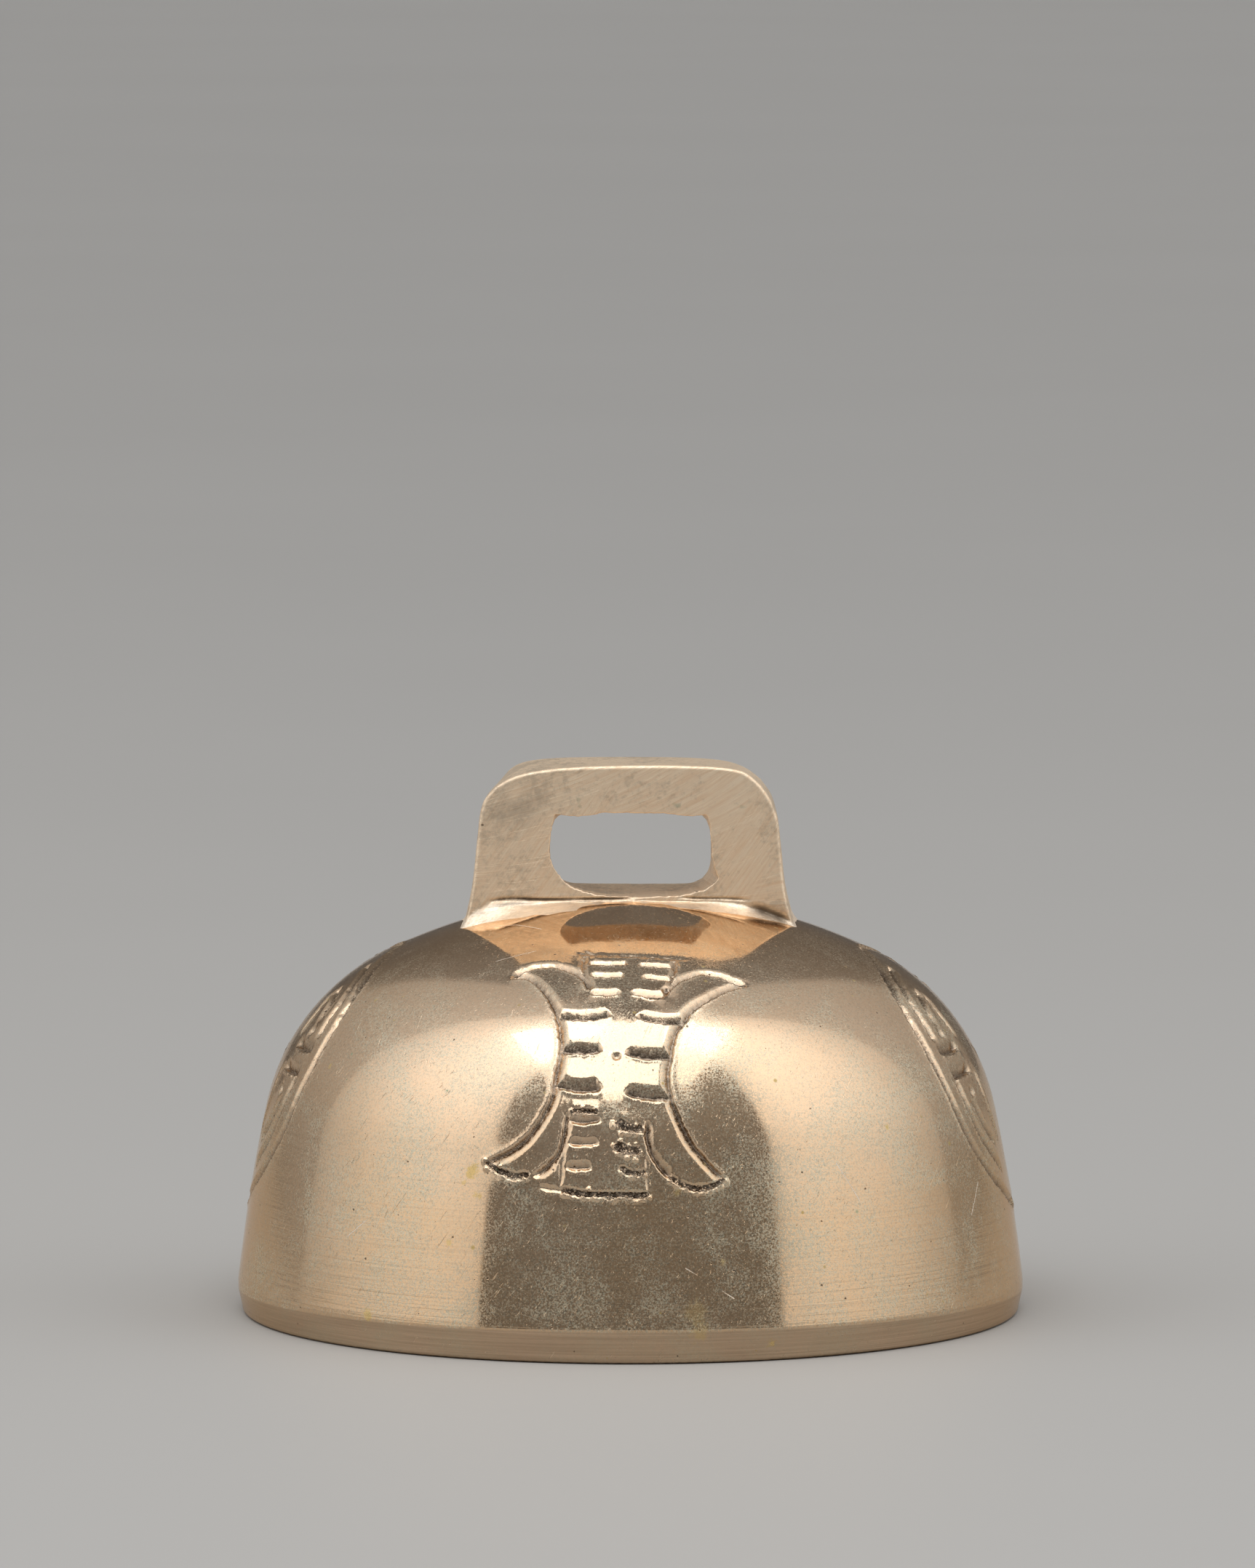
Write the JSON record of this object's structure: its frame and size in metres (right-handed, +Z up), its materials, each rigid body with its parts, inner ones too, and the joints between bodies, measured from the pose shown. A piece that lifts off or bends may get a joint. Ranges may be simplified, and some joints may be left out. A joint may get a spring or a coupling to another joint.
{
  "type": "hanging bell",
  "caption": "Domed cast bell with a turned rim band, a filed strap loop on its crown and a ball clapper hung inside on a wire link.",
  "frame": {"origin": "centre of the rim's resting plane", "axes": "+Z up through the loop, +X along the loop's width, -Y towards the front medallion"},
  "size_m": [0.08, 0.08, 0.0562],
  "materials": {
    "bell_bronze": "satin cast bronze, turned and carved, with a mottled brown patina",
    "loop_bronze": "coarsely filed bronze with bright edges",
    "iron_wire": "drawn iron wire with a dark oxide skin",
    "forged_iron": "forged iron, dark, rubbed brighter at the eye",
    "ball_brass": "turned brass, dulled"
  },
  "bodies": {
    "bell": {"bell_body": "bell_bronze", "hanging_loop": "loop_bronze", "clapper_staple": "iron_wire"},
    "link": {"clapper_link": "iron_wire"},
    "clapper": {"clapper_shank": "forged_iron", "clapper_ball": "ball_brass"}
  },
  "joints": [
    {"name": "link_swing", "type": "hinge", "parent": "bell", "child": "link", "pos_m": [0, 0, 0.0345], "axis": [1, 0, 0], "range_deg": [-66, 66]},
    {"name": "clapper_swing", "type": "hinge", "parent": "link", "child": "clapper", "pos_m": [0, 0, 0.0284], "axis": [0, 1, 0], "range_deg": [-34, 34]}
  ]
}
